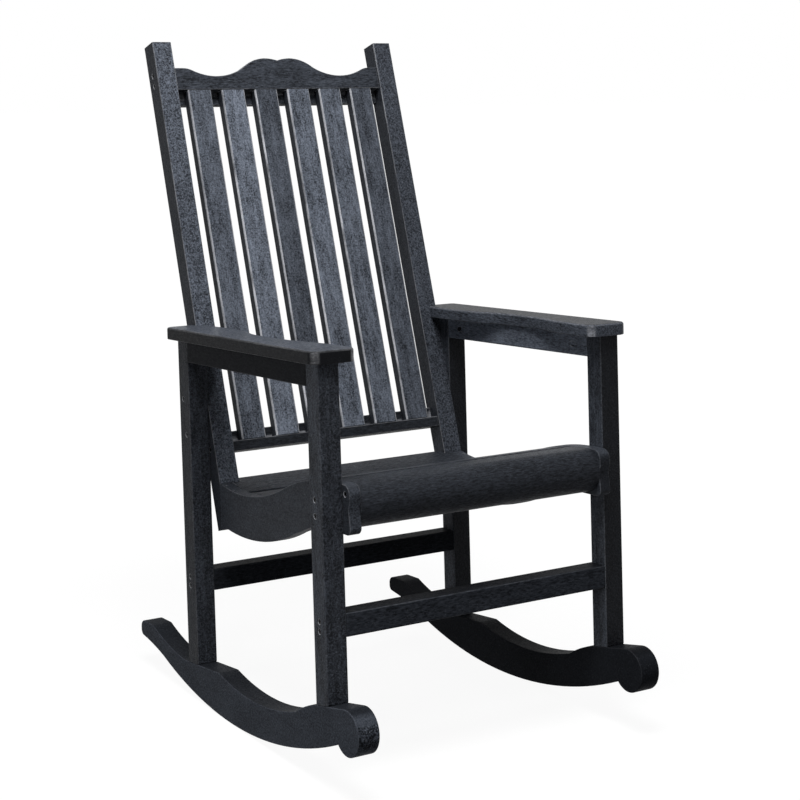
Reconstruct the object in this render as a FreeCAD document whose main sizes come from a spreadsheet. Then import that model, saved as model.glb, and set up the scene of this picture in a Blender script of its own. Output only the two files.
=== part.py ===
import FreeCAD, Part
import math
import os
import Sketcher

# A rocking chair screwed together from square bars and boards of solid moulded plastic.
# It is drawn in its own frame and then stood on its rockers where it balances.
# In the drawing frame X runs across the chair, Y from its front to its back and Z up the legs.
# X = 0 is the middle, Y = 0 the front face of the front legs and Z = 0 their lower front corner.
# The sitter faces -Y, so the sitter's right side is at -X.

Vector = FreeCAD.Vector
Placement = FreeCAD.Placement
Rotation = FreeCAD.Rotation

SIZES = {
    # stock
    "lumber": 39.7,
    "board": 22.2,
    "eased_edge": 2.5,
    "board_edge": 1.5,
    # legs and stretchers
    "frame_width": 611.2,
    "leg_spacing": 487,
    "leg_top": 555.5,
    "front_stretcher_height": 125.8,
    "rear_stretcher_height": 107.9,
    # rockers
    "rocker_radius": 925.7,
    "rocker_centre_back": 315.5,
    "rocker_centre_height": 803,
    "scroll_radius": 38.3,
    "scroll_ahead": 57.5,
    "scroll_drop": 30.7,
    "scroll_notch_angle": 48.2,
    "front_land_slope": 9.6,
    "front_land_end": 44,
    "shoulder_radius": 250,
    "hollow_front": 112,
    "hollow_front_drop": 37.5,
    "hollow_radius": 520,
    "rear_land_ahead": 87,
    "rear_land_behind": 58,
    "rear_land_drop": 45.5,
    "rear_land_slope": 3.5,
    "tail_start_behind": 153,
    "tail_end_behind": 255,
    "tail_top_drop": 13,
    "tail_thickness": 30,
    "tail_top_length": 42,
    "tail_top_corner": 14,
    "tail_bottom_corner": 11,
    "tail_top_radius": 480,
    "tail_bottom_radius": 600,
    # arms
    "arm_side_overhang": 14.2,
    "arm_front_overhang": 12,
    "arm_rear_overhang": 21.9,
    "arm_inset_front": 29.7,
    "arm_inset_waist": 4.7,
    "arm_inset_rear": 23.7,
    "arm_inset_post": 16.7,
    "arm_curve_front": 20,
    "arm_waist_front": 235,
    "arm_waist_rear": 272,
    "arm_curve_rear_ahead": 87,
    "arm_taper_ahead": 20,
    "arm_front_corner": 20,
    "arm_rear_corner": 12,
    "arm_edge": 4,
    # seat rails
    "rail_crown_back": 22,
    "rail_crown": 357,
    "rail_crown_radius": 469.5,
    "seat_low_back": 373,
    "seat_low": 285.2,
    "rail_rear_ahead": 37,
    "rail_rear_radius": 345,
    "rail_rear_bottom": 207.5,
    "rail_heel_length": 26,
    "rail_heel_height": 212,
    "rail_belly_radius": 484.5,
    "rail_belly_front": 164,
    "rail_belly_front_height": 248.5,
    "rail_neck_back": 112,
    "rail_neck_height": 267,
    "rail_neck_radius": 60,
    "rail_front_bottom": 274.5,
    "rail_neck_start": 88,
    "rail_overhang": 20.5,
    "rail_nose_radius": 17,
    "rail_crease_drop": 37.5,
    "rail_crease_depth": 4.5,
    "rail_chin_radius": 12,
    # seat roll and seat slats
    "roll_centre_back": 19,
    "roll_radius": 38.7,
    "roll_top_drop": 0.2,
    "roll_rear": 60,
    "roll_rear_thickness": 25,
    "roll_belly": 40,
    "seat_gap": 11.6,
    "narrow_seat_slat": 48.5,
    "wide_seat_slat": 88.9,
    "rear_seat_slat": 81,
    "seat_slat_drop": 1,
    "notch_clearance": 1,
    # back
    "back_lean": 15.7,
    "back_foot_ahead": 119.7,
    "post_above_slats": 94.7,
    "post_bottom": 221.6,
    "back_setback": 3.5,
    "back_slat": 50.3,
    "slat_edge": 4,
    "back_slat_end_gap": 21,
    "back_slat_bottom": 379.5,
    "back_slat_top": 1059.5,
    "lower_rail_drop": 19,
    "crest_lip": 25,
    "crest_end_height": 44,
    "crest_end_flat": 18,
    "crest_shoulder_radius": 45,
    "crest_shoulder": 38,
    "crest_shoulder_height": 39.3,
    "crest_valley_radius": 112,
    "crest_rise_out": 78,
    "crest_rise_height": 45,
    "crest_peak_out": 29,
    "crest_peak_height": 63.8,
    "crest_middle_height": 59.4,
    "crest_hump_radius": 80,
    "crest_dip_radius": 100,
    # screws
    "screw_shank": 4.8,
    "screw_head": 8.6,
    "screw_head_height": 3,
    "screw_sink": 1.2,
    "screw_play": 0.15,
    "screw_socket": 2.8,
    "frame_screw": 63,
    "seat_rail_screw": 52,
    "roll_screw": 45,
    "arm_screw": 48,
    "slat_screw": 29,
    "pocket_screw": 31,
    "apron_screw": 55,
    "rocker_screw": 75,
    "rocker_screw_depth": 20,
    "pocket_angle": 25,
    "stretcher_screw_pitch": 16.6,
    "back_slat_screw_pitch": 19,
    "crest_screw_pitch": 20.4,
    "seat_rail_screw_back": 23.2,
    "seat_rail_screw_drop": 37.4,
    "seat_rail_screw_pitch": 26.8,
    "post_screw_high_drop": 109.1,
    "post_screw_low_drop": 174.3,
    "roll_screw_inset": 3.6,
    "roll_screw_angle": 42,
    "seat_slat_screw_front": 20,
    "seat_slat_screw_pitch": 30,
    "arm_screw_end": 82,
    "rocker_screw_pitch": 16.8,
}

BACK_SLATS = 6
LEFT = 1
RIGHT = -1
SIDES = {"left": LEFT, "right": RIGHT}
PLASTIC_DENSITY = 0.95
STEEL_DENSITY = 7.9

doc = FreeCAD.newDocument("RockingChair")
sheet = doc.addObject("Spreadsheet::Sheet", "dim")
for row, (name, size) in enumerate(SIZES.items(), start=1):
    sheet.set(f"A{row}", name.replace("_", " "))
    sheet.set(f"B{row}", str(size))
    sheet.setAlias(f"B{row}", name)
doc.recompute()


def size(expression):
    """The number that a cell name or an expression over cells stands for."""
    return float(sheet.evalExpression(str(expression)))


def dim(name):
    return size("dim." + name)


HALF_WIDTH = "dim.frame_width/2"
LEG_INSIDE = "(dim.frame_width/2 - dim.lumber)"
RAIL_INSIDE = "(dim.frame_width/2 - dim.lumber - dim.board)"
POST_INSIDE = "(dim.frame_width/2 - 2*dim.lumber)"
REAR_LEG_BACK = "(dim.leg_spacing + dim.lumber)"
RAIL_REAR = "(dim.leg_spacing - dim.rail_rear_ahead)"
BACK_FOOT = "(dim.leg_spacing - dim.back_foot_ahead)"
POST_TOP = "(dim.back_slat_top + dim.post_above_slats)"
ROLL_HEIGHT = "(dim.rail_crown - dim.roll_top_drop - dim.roll_radius)"


def front_land(back):
    """Height of the rocker's top at the front leg: the tangent that runs back from the scroll."""
    tangent = "dim.scroll_radius/cos(dim.front_land_slope) - dim.scroll_drop"
    return f"({tangent} - ({back} + dim.scroll_ahead)*tan(dim.front_land_slope))"


def rear_land(back):
    """Height of the rocker's top at the rear leg."""
    return f"(-dim.rear_land_drop - ({back} - dim.leg_spacing)*tan(dim.rear_land_slope))"


def rocker_underside(back):
    reach = f"sqrt(dim.rocker_radius^2 - ({back} - dim.rocker_centre_back)^2)"
    return f"(dim.rocker_centre_height - {reach})"


def seat_dip_radius():
    """Radius of the seat's hollow, tangent to the crown's arc and level at the lowest point."""
    fall = dim("seat_low") - dim("rail_crown") + dim("rail_crown_radius")
    run = dim("seat_low_back") - dim("rail_crown_back")
    crown = dim("rail_crown_radius")
    return (run**2 + fall**2 - crown**2) / (2 * (crown - fall))


def seat_turn():
    """Where the crown's arc meets the hollow's arc, as distance back and height."""
    crown = dim("rail_crown_radius")
    share = crown / (crown + seat_dip_radius())
    run = dim("seat_low_back") - dim("rail_crown_back")
    rise = dim("seat_low") + seat_dip_radius() - dim("rail_crown") + crown
    return dim("rail_crown_back") + share * run, dim("rail_crown") - crown + share * rise


def seat_height(back):
    """Height of the seat rails' top edge at a distance back from the front legs."""
    if back < dim("rail_crown_back"):
        return dim("rail_crown")
    if back < seat_turn()[0]:
        radius = dim("rail_crown_radius")
        return dim("rail_crown") - radius + math.sqrt(radius**2 - (back - dim("rail_crown_back"))**2)
    radius = seat_dip_radius() if back < dim("seat_low_back") else dim("rail_rear_radius")
    return dim("seat_low") + radius - math.sqrt(radius**2 - (back - dim("seat_low_back"))**2)


def new_body(name):
    body = doc.addObject("PartDesign::Body", name)
    body.Label = name
    return body


def curve(start, end, bend, radius, hand):
    """A line or an arc from start to end.

    A bulge turns left along an outline that runs anticlockwise, a hollow turns right, and a
    round is a bulge of more than half a circle. The hand is -1 for a mirrored outline.
    """
    if bend is None:
        return Part.LineSegment(start, end)
    chord = end - start
    left = Vector(-chord.y, chord.x, 0).normalize() * hand
    depth = math.sqrt(radius**2 - (chord.Length / 2)**2)
    middle = (start + end) * 0.5
    rise = {"bulge": depth - radius, "hollow": radius - depth, "round": -depth - radius}[bend]
    top = middle + left * rise
    if (top - start).cross(end - start).z < 0:
        start, end = end, start
    return Part.Arc(start, top, end)


def outline(body, name, plane, offset, corners, hand=1):
    """A closed sketch on one of the body's own planes.

    Each corner is two expressions, then for a curved edge to the next corner its bend and radius.
    """
    sketch = body.newObject("Sketcher::SketchObject", name)
    support = [item for item in body.Origin.OriginFeatures if item.Role == plane][0]
    sketch.AttachmentSupport = [(support, "")]
    sketch.MapMode = "FlatFace"
    sketch.setExpression("AttachmentOffset.Base.z", str(offset))
    points = [Vector(size(corner[0]), size(corner[1]), 0) for corner in corners]
    ends = []
    for index, corner in enumerate(corners):
        bend, radius = corner[2:] if len(corner) > 2 else (None, 0)
        following = points[(index + 1) % len(points)]
        sketch.addGeometry(curve(points[index], following, bend, size(radius), hand))
        edge = sketch.Geometry[index]
        forward = bend is None or (edge.StartPoint - points[index]).Length < 1e-4
        ends.append((1, 2) if forward else (2, 1))
    rules = []
    bound = {}
    for index, corner in enumerate(corners):
        following = (index + 1) % len(corners)
        rules.append(Sketcher.Constraint("Coincident", index, ends[index][1], following, ends[following][0]))
        for kind, value in (("DistanceX", corner[0]), ("DistanceY", corner[1])):
            bound[len(rules)] = value
            rules.append(Sketcher.Constraint(kind, -1, 1, index, ends[index][0], size(value)))
        if len(corner) > 2:
            bound[len(rules)] = corner[3]
            rules.append(Sketcher.Constraint("Radius", index, size(corner[3])))
    sketch.addConstraint(rules)
    for number, value in bound.items():
        sketch.setExpression(f"Constraints[{number}]", str(value))
    return sketch


def pad(body, name, plane, offset, length, corners, hand=1):
    """Adds the outline to the body, thickened along the plane's normal from the offset."""
    feature = body.newObject("PartDesign::Pad", name)
    feature.Profile = outline(body, name + "Outline", plane, offset, corners, hand)
    feature.setExpression("Length", str(length))
    doc.recompute([feature, body])
    return feature


def pocket(body, name, plane, offset, length, corners):
    """Cuts the outline out of the body, along the plane's normal from the offset."""
    before = body.Shape.Volume
    feature = body.newObject("PartDesign::Pocket", name)
    feature.Profile = outline(body, name + "Outline", plane, offset, corners)
    feature.Reversed = True
    feature.setExpression("Length", str(length))
    doc.recompute([feature, body])
    if body.Shape.Volume >= before:
        raise RuntimeError(f"{name} cuts nothing")
    return feature


def ease(body, radius, chosen):
    """Rounds the chosen edges of the body."""
    base = body.Tip
    names = [f"Edge{number}" for number, edge in enumerate(base.Shape.Edges, start=1) if chosen(edge)]
    feature = body.newObject("PartDesign::Fillet", body.Label + "Ease")
    feature.Base = (base, names)
    feature.setExpression("Radius", radius)
    doc.recompute([feature, body])


def running(axis):
    """Chooses the straight edges along an axis."""
    def chosen(edge):
        return isinstance(edge.Curve, Part.Line) and abs(edge.Curve.Direction.dot(axis)) > 0.999
    return chosen


def rectangle(low_a, low_b, high_a, high_b):
    return [(low_a, low_b), (high_a, low_b), (high_a, high_b), (low_a, high_b)]


def side_start(hand, inside, thickness):
    """Where a board or bar with the given inner face starts along X, on either side."""
    return inside if hand == LEFT else f"-({inside} + {thickness})"


def rocker(side, hand):
    body = new_body(f"{side}_rocker")
    notch = "(dim.scroll_radius*sin(dim.scroll_notch_angle) - dim.scroll_ahead)"
    tail_top = "(-dim.tail_top_drop)"
    tail_bottom = "(-dim.tail_top_drop - dim.tail_thickness)"
    tail_start = "(dim.leg_spacing + dim.tail_start_behind)"
    tail_end = "(dim.leg_spacing + dim.tail_end_behind)"
    land_start = "(dim.leg_spacing - dim.rear_land_ahead)"
    land_end = "(dim.leg_spacing + dim.rear_land_behind)"
    tangent_back = "(dim.scroll_radius*sin(dim.front_land_slope) - dim.scroll_ahead)"
    corners = [
        (notch, rocker_underside(notch), "bulge", "dim.rocker_radius"),
        (tail_start, rocker_underside(tail_start), "hollow", "dim.tail_bottom_radius"),
        (f"{tail_end} - dim.tail_bottom_corner", tail_bottom, "bulge", "dim.tail_bottom_corner"),
        (tail_end, f"{tail_bottom} + dim.tail_bottom_corner"),
        (tail_end, f"{tail_top} - dim.tail_top_corner", "bulge", "dim.tail_top_corner"),
        (f"{tail_end} - dim.tail_top_corner", tail_top),
        (f"{tail_end} - dim.tail_top_corner - dim.tail_top_length", tail_top,
         "hollow", "dim.tail_top_radius"),
        (land_end, rear_land(land_end)),
        (land_start, rear_land(land_start), "hollow", "dim.hollow_radius"),
        ("dim.hollow_front", "-dim.hollow_front_drop", "bulge", "dim.shoulder_radius"),
        ("dim.front_land_end", front_land("dim.front_land_end")),
        (tangent_back, front_land(tangent_back), "round", "dim.scroll_radius"),
    ]
    start = side_start(hand, LEG_INSIDE, "dim.lumber")
    pad(body, f"{side}RockerPad", "YZ_Plane", start, "dim.lumber", corners)
    return body


def leg(side, hand, end):
    body = new_body(f"{side}_{end}_leg")
    front, land = ("0", front_land) if end == "front" else ("dim.leg_spacing", rear_land)
    back = f"({front} + dim.lumber)"
    corners = [(front, land(front)), (back, land(back)), (back, "dim.leg_top"), (front, "dim.leg_top")]
    start = side_start(hand, LEG_INSIDE, "dim.lumber")
    pad(body, f"{side}{end}LegPad", "YZ_Plane", start, "dim.lumber", corners)
    ease(body, "dim.eased_edge", running(Vector(0, 0, 1)))
    return body


def arm_rail(side, hand):
    body = new_body(f"{side}_arm_rail")
    corners = rectangle("dim.lumber", "dim.leg_top - dim.lumber", "dim.leg_spacing", "dim.leg_top")
    start = side_start(hand, LEG_INSIDE, "dim.lumber")
    pad(body, f"{side}ArmRailPad", "YZ_Plane", start, "dim.lumber", corners)
    ease(body, "dim.eased_edge", running(Vector(0, 1, 0)))
    return body


def stretcher(end, front, height):
    body = new_body(f"{end}_stretcher")
    low = f"{height} - dim.lumber/2"
    corners = rectangle(front, low, f"{front} + dim.lumber", f"{low} + dim.lumber")
    pad(body, f"{end}StretcherPad", "YZ_Plane", f"-{LEG_INSIDE}", f"2*{LEG_INSIDE}", corners)
    ease(body, "dim.eased_edge", running(Vector(1, 0, 0)))
    return body


def post_front(height):
    """Distance back of the post's front face at a height."""
    return f"({BACK_FOOT} + ({height})*tan(dim.back_lean))"


def wave_radius(near, far, start, end):
    """Radius of two equal arcs that step from one line to a parallel one."""
    return f"((({end}) - ({start}))^2 + (({far}) - ({near}))^2)/(4*abs(({far}) - ({near})))"


def arm(side, hand):
    body = new_body(f"{side}_arm")

    def inset(name):
        """Distance from the middle of a point set in from the legs' inner faces."""
        return f"{hand}*({LEG_INSIDE} - {name})"

    def outset(name):
        return f"{hand}*({HALF_WIDTH} + dim.arm_side_overhang - {name})"

    front = "(-dim.arm_front_overhang)"
    rear = f"({REAR_LEG_BACK} + dim.arm_rear_overhang)"
    curve_rear = "(dim.leg_spacing - dim.arm_curve_rear_ahead)"
    rear_wave = wave_radius("dim.arm_inset_rear", "dim.arm_inset_waist", "dim.arm_waist_rear", curve_rear)
    front_wave = wave_radius("dim.arm_inset_front", "dim.arm_inset_waist",
                             "dim.arm_curve_front", "dim.arm_waist_front")
    corners = [
        (outset("0"), f"{front} + dim.arm_front_corner"),
        (outset("0"), f"{rear} - dim.arm_rear_corner", "bulge", "dim.arm_rear_corner"),
        (outset("dim.arm_rear_corner"), rear),
        (inset("dim.arm_inset_post"), rear),
        (inset("dim.arm_inset_post"), post_front("dim.leg_top + dim.board")),
        (inset("dim.arm_inset_rear"), "dim.leg_spacing - dim.arm_taper_ahead"),
        (inset("dim.arm_inset_rear"), curve_rear, "bulge", rear_wave),
        (inset("(dim.arm_inset_rear + dim.arm_inset_waist)/2"), f"({curve_rear} + dim.arm_waist_rear)/2",
         "hollow", rear_wave),
        (inset("dim.arm_inset_waist"), "dim.arm_waist_rear"),
        (inset("dim.arm_inset_waist"), "dim.arm_waist_front", "hollow", front_wave),
        (inset("(dim.arm_inset_front + dim.arm_inset_waist)/2"),
         "(dim.arm_waist_front + dim.arm_curve_front)/2", "bulge", front_wave),
        (inset("dim.arm_inset_front"), "dim.arm_curve_front"),
        (inset("dim.arm_inset_front"), f"{front} + dim.arm_front_corner", "bulge", "dim.arm_front_corner"),
        (inset("(dim.arm_inset_front - dim.arm_front_corner)"), front),
        (outset("dim.arm_front_corner"), front, "bulge", "dim.arm_front_corner"),
    ]
    pad(body, f"{side}ArmPad", "XY_Plane", "dim.leg_top", "dim.board", corners, hand)
    low = "dim.leg_top - dim.board"
    high = "dim.leg_top + 2*dim.board"
    behind = f"{rear} + dim.lumber"
    notch = [(post_front(low), low), (behind, low), (behind, high), (post_front(high), high)]
    start = POST_INSIDE if hand == LEFT else f"-{LEG_INSIDE}"
    pocket(body, f"{side}PostNotch", "YZ_Plane", start, "dim.lumber", notch)
    ease(body, "dim.arm_edge", arm_top_edge)
    return body


def arm_top_edge(edge):
    """Chooses the edges round an arm's top that lie clear of the back post."""
    box = edge.BoundBox
    on_top = box.ZMin > dim("leg_top") + dim("board") - 1e-6
    beside_post = box.XLength < 1e-6 and abs(abs(box.XMin) - size(LEG_INSIDE)) < 1e-3
    before_post = box.YLength < 1e-6 and abs(box.YMin - size(post_front("dim.leg_top + dim.board"))) < 1e-3
    return on_top and not beside_post and not before_post


def seat_rail(side, hand):
    body = new_body(f"{side}_seat_rail")
    turn_back, turn_height = seat_turn()
    front = "(-dim.rail_overhang)"
    corners = [
        (f"{front} + dim.rail_chin_radius", "dim.rail_front_bottom"),
        ("dim.rail_neck_start", "dim.rail_front_bottom", "hollow", "dim.rail_neck_radius"),
        ("dim.rail_neck_back", "dim.rail_neck_height"),
        ("dim.rail_belly_front", "dim.rail_belly_front_height", "bulge", "dim.rail_belly_radius"),
        (f"{RAIL_REAR} - dim.rail_heel_length", "dim.rail_heel_height"),
        (RAIL_REAR, "dim.rail_rear_bottom"),
        (RAIL_REAR, seat_height(size(RAIL_REAR)), "hollow", "dim.rail_rear_radius"),
        ("dim.seat_low_back", "dim.seat_low", "hollow", seat_dip_radius()),
        (turn_back, turn_height, "bulge", "dim.rail_crown_radius"),
        ("dim.rail_crown_back", "dim.rail_crown"),
        (f"{front} + dim.rail_nose_radius", "dim.rail_crown", "bulge", "dim.rail_nose_radius"),
        (front, "dim.rail_crown - dim.rail_nose_radius"),
        (front, "dim.rail_crown - dim.rail_crease_drop + 2*dim.rail_crease_depth"),
        (f"{front} + dim.rail_crease_depth", "dim.rail_crown - dim.rail_crease_drop"),
        (front, "dim.rail_front_bottom + dim.rail_chin_radius", "bulge", "dim.rail_chin_radius"),
    ]
    start = side_start(hand, RAIL_INSIDE, "dim.board")
    pad(body, f"{side}SeatRailPad", "YZ_Plane", start, "dim.board", corners)
    return body


def seat_roll():
    body = new_body("seat_roll")
    top = f"({ROLL_HEIGHT} + dim.roll_radius)"
    bottom = f"({ROLL_HEIGHT} - dim.roll_radius)"
    rear_bottom = f"({seat_height(dim('roll_rear'))} - dim.roll_rear_thickness)"
    corners = [
        ("dim.roll_centre_back", bottom),
        ("dim.roll_belly", bottom),
        ("dim.roll_rear", rear_bottom),
        ("dim.roll_rear", seat_height(dim("roll_rear")) - dim("seat_slat_drop")),
        ("dim.roll_centre_back", top, "bulge", "dim.roll_radius"),
        ("dim.roll_centre_back - dim.roll_radius", ROLL_HEIGHT, "bulge", "dim.roll_radius"),
    ]
    pad(body, "SeatRollPad", "YZ_Plane", f"-{RAIL_INSIDE}", f"2*{RAIL_INSIDE}", corners)
    return body


def seat_slat_lines():
    """Top edges of the seat slats in side view, each as its front point and its rear point."""
    widths = [dim("narrow_seat_slat")] * 2 + [dim("wide_seat_slat")] * 2 + [dim("rear_seat_slat")]
    lines = []
    front = dim("roll_rear") + dim("seat_gap")
    for width in widths:
        reach = width
        for _ in range(8):
            rise = seat_height(front + reach) - seat_height(front)
            reach = math.sqrt(width**2 - rise**2)
        drop = dim("seat_slat_drop")
        start = Vector(0, front, seat_height(front) - drop)
        end = Vector(0, front + reach, seat_height(front + reach) - drop)
        lines.append((start, end))
        front += reach + dim("seat_gap")
    return lines


def seat_slat_section(start, end):
    """Corners of a slat's section under its top edge."""
    along = (end - start).normalize()
    down = Vector(0, along.z, -along.y) * dim("board")
    return [(point.y, point.z) for point in (start, start + down, end + down, end)]


def seat_slat(number, start, end, last):
    body = new_body(f"seat_slat_{number}")
    name = f"SeatSlat{number}"
    if not last:
        pad(body, name + "Pad", "YZ_Plane", f"-{RAIL_INSIDE}", f"2*{RAIL_INSIDE}",
            seat_slat_section(start, end))
        ease(body, "dim.board_edge", running(Vector(1, 0, 0)))
        return body
    set_back = max(0, (end - start).normalize().z * dim("board"))
    notch_front = size(RAIL_REAR) - dim("notch_clearance") - set_back
    share = (notch_front - start.y) / (end.y - start.y)
    shoulder = start + (end - start) * share
    pad(body, name + "Pad", "YZ_Plane", f"-{RAIL_INSIDE}", f"2*{RAIL_INSIDE}",
        seat_slat_section(start, shoulder))
    inside = f"({POST_INSIDE} - dim.notch_clearance)"
    pad(body, name + "TonguePad", "YZ_Plane", f"-{inside}", f"2*{inside}", seat_slat_section(start, end))
    return body


def back_post(side, hand):
    body = new_body(f"{side}_back_post")
    rail_back = f"({RAIL_REAR} - {BACK_FOOT})"
    foot_depth = f"(({rail_back} - dim.post_bottom*sin(dim.back_lean))/cos(dim.back_lean))"
    heel = f"({rail_back}/sin(dim.back_lean))"
    corners = [
        (foot_depth, "dim.post_bottom"),
        ("dim.lumber", "dim.post_bottom"),
        ("dim.lumber", POST_TOP),
        ("0", POST_TOP),
        ("0", heel),
    ]
    start = side_start(hand, POST_INSIDE, "dim.lumber")
    pad(body, f"{side}BackPostPad", "YZ_Plane", start, "dim.lumber", corners)
    ease(body, "dim.eased_edge", running(Vector(0, 0, 1)))
    return body


def crest_height(part):
    """How far up the back a part of the crest's top edge is."""
    return f"(dim.back_slat_top + dim.crest_{part}_height)"


def crest_rail():
    body = new_body("crest_rail")
    end_flat = f"({POST_INSIDE} - dim.crest_end_flat)"
    shoulder = f"({POST_INSIDE} - dim.crest_shoulder)"
    half = [
        (POST_INSIDE, "dim.back_slat_top"),
        (POST_INSIDE, crest_height("end")),
        (end_flat, crest_height("end"), "bulge", "dim.crest_shoulder_radius"),
        (shoulder, crest_height("shoulder"), "hollow", "dim.crest_valley_radius"),
        ("dim.crest_rise_out", crest_height("rise"), "bulge", "dim.crest_hump_radius"),
        ("dim.crest_peak_out", crest_height("peak"), "bulge", "dim.crest_dip_radius"),
    ]
    mirrored = [
        ("0", crest_height("middle"), "bulge", "dim.crest_dip_radius"),
        ("-dim.crest_peak_out", crest_height("peak"), "bulge", "dim.crest_hump_radius"),
        ("-dim.crest_rise_out", crest_height("rise"), "hollow", "dim.crest_valley_radius"),
        (f"-{shoulder}", crest_height("shoulder"), "bulge", "dim.crest_shoulder_radius"),
        (f"-{end_flat}", crest_height("end")),
        (f"-{POST_INSIDE}", crest_height("end")),
        (f"-{POST_INSIDE}", "dim.back_slat_top"),
    ]
    depth = "(dim.lumber - dim.back_setback)"
    pad(body, "CrestPad", "XZ_Plane", "-dim.lumber", depth, half + mirrored)
    lip = rectangle(f"-{POST_INSIDE}", "dim.back_slat_top - dim.crest_lip", POST_INSIDE, "dim.back_slat_top")
    pad(body, "CrestLipPad", "XZ_Plane", "-dim.lumber", f"{depth} - dim.board", lip)
    return body


def lower_back_rail():
    body = new_body("lower_back_rail")
    bottom = "(dim.back_slat_bottom - dim.lower_rail_drop)"
    depth = "(dim.lumber - dim.back_setback)"
    slat_back = "(dim.back_setback + dim.board)"
    corners = [
        ("dim.back_setback", bottom),
        ("dim.lumber", bottom),
        ("dim.lumber", f"{bottom} + dim.lumber"),
        (slat_back, f"{bottom} + dim.lumber"),
        (slat_back, "dim.back_slat_bottom"),
        ("dim.back_setback", "dim.back_slat_bottom"),
    ]
    pad(body, "LowerRailPad", "YZ_Plane", f"-{POST_INSIDE}", f"2*{POST_INSIDE}", corners)
    return body


def slat_middle(number):
    """Distance of a back slat's middle from the chair's, counted from the sitter's right."""
    first = f"({POST_INSIDE} - dim.back_slat_end_gap - dim.back_slat/2)"
    return f"({2 * (number - 1) / (BACK_SLATS - 1) - 1}*{first})"


def back_slat(number):
    body = new_body(f"back_slat_{number}")
    middle = slat_middle(number)
    corners = rectangle(f"{middle} - dim.back_slat/2", "dim.back_slat_bottom",
                        f"{middle} + dim.back_slat/2", "dim.back_slat_top")
    offset = "-(dim.back_setback + dim.board)"
    pad(body, f"BackSlat{number}Pad", "XZ_Plane", offset, "dim.board", corners)
    ease(body, "dim.slat_edge", running(Vector(0, 0, 1)))
    return body


def back_frame():
    """Placement of the leaning back: local Y is depth behind the posts' front, Z runs up them."""
    return Placement(Vector(0, size(BACK_FOOT), 0), Rotation(Vector(1, 0, 0), -dim("back_lean")))


def aimed(point, direction):
    """Placement of a screw whose head lies at point and that is driven along direction."""
    return Placement(point, Rotation(Vector(0, 0, 1), direction))


def head_seat():
    return dim("screw_sink") + dim("screw_head_height")


def screw_shape(length):
    """A pan head screw driven along Z, with the surface that it is sunk into at Z = 0."""
    sink = dim("screw_sink")
    head = Part.makeCylinder(dim("screw_head") / 2, dim("screw_head_height"), Vector(0, 0, sink))
    radius = dim("screw_shank") / 2
    tip = 2 * radius
    shank = Part.makeCylinder(radius, length - tip, Vector(0, 0, head_seat()))
    point = Part.makeCone(radius, radius / 4, tip, Vector(0, 0, head_seat() + length - tip))
    width = dim("screw_socket")
    socket = Part.makeBox(width, width, width / 2, Vector(-width / 2, -width / 2, sink))
    return head.fuse([shank, point]).removeSplitter().cut(socket)


def screw_hole(length, recess):
    """The counterbored hole for such a screw, open for the recess above its surface."""
    play = dim("screw_play")
    bore = Part.makeCylinder(dim("screw_head") / 2 + play, recess + head_seat(), Vector(0, 0, -recess))
    shank = Part.makeCylinder(dim("screw_shank") / 2 + play, length + play, Vector(0, 0, head_seat()))
    return bore.fuse(shank)


def mirrored_pair(point, direction):
    """The same screw on the sitter's left and right."""
    places = []
    for hand in SIDES.values():
        flip = Vector(hand, 1, 1)
        places.append(aimed(scaled(point, flip), scaled(direction, flip)))
    return places


def scaled(vector, factors):
    return Vector(vector.x * factors.x, vector.y * factors.y, vector.z * factors.z)


def through_side(out, back, height):
    """A pair of screws driven inwards through the outer faces at a distance out from the middle."""
    return mirrored_pair(Vector(out, back, height), Vector(-1, 0, 0))


def stretcher_screws():
    half = dim("stretcher_screw_pitch") / 2
    bar = dim("lumber")
    out = size(HALF_WIDTH)
    places = []
    rows = ((bar / 2, dim("front_stretcher_height")),
            (dim("leg_spacing") + bar / 2, dim("rear_stretcher_height")))
    for back, height in rows:
        places += through_side(out, back, height + half)
        places += through_side(out, back, height - half)
    return places


def seat_rail_screws():
    middle = dim("rail_crown") - dim("seat_rail_screw_drop")
    half = dim("seat_rail_screw_pitch") / 2
    out = size(HALF_WIDTH)
    back = dim("seat_rail_screw_back")
    return through_side(out, back, middle + half) + through_side(out, back, middle - half)


def post_screws():
    """Two screws a side, through the rear leg into the leaning post."""
    places = []
    for drop in (dim("post_screw_high_drop"), dim("post_screw_low_drop")):
        height = dim("leg_top") - drop
        front = max(size(post_front(height)), dim("leg_spacing"))
        back = min(size(post_front(height)) + dim("lumber"), size(REAR_LEG_BACK))
        places += through_side(size(HALF_WIDTH), (front + back) / 2, height)
    return places


def roll_screws():
    """One screw a side, through the seat rail into the upper front of the roll."""
    out = dim("roll_radius") - dim("roll_screw_inset")
    angle = math.radians(dim("roll_screw_angle"))
    back = dim("roll_centre_back") - out * math.cos(angle)
    return through_side(size(LEG_INSIDE), back, size(ROLL_HEIGHT) + out * math.sin(angle))


def crest_screws():
    places = []
    middle = (size(crest_height("end")) + dim("back_slat_top")) / 2
    half = dim("crest_screw_pitch") / 2
    for height in (middle - half, middle + half):
        places += through_side(size(LEG_INSIDE), dim("lumber") / 2, height)
    return [back_frame().multiply(place) for place in places]


def lower_rail_screws():
    height = dim("back_slat_bottom") - dim("lower_rail_drop") / 2
    places = through_side(size(LEG_INSIDE), dim("lumber") / 2, height)
    return [back_frame().multiply(place) for place in places]


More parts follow.
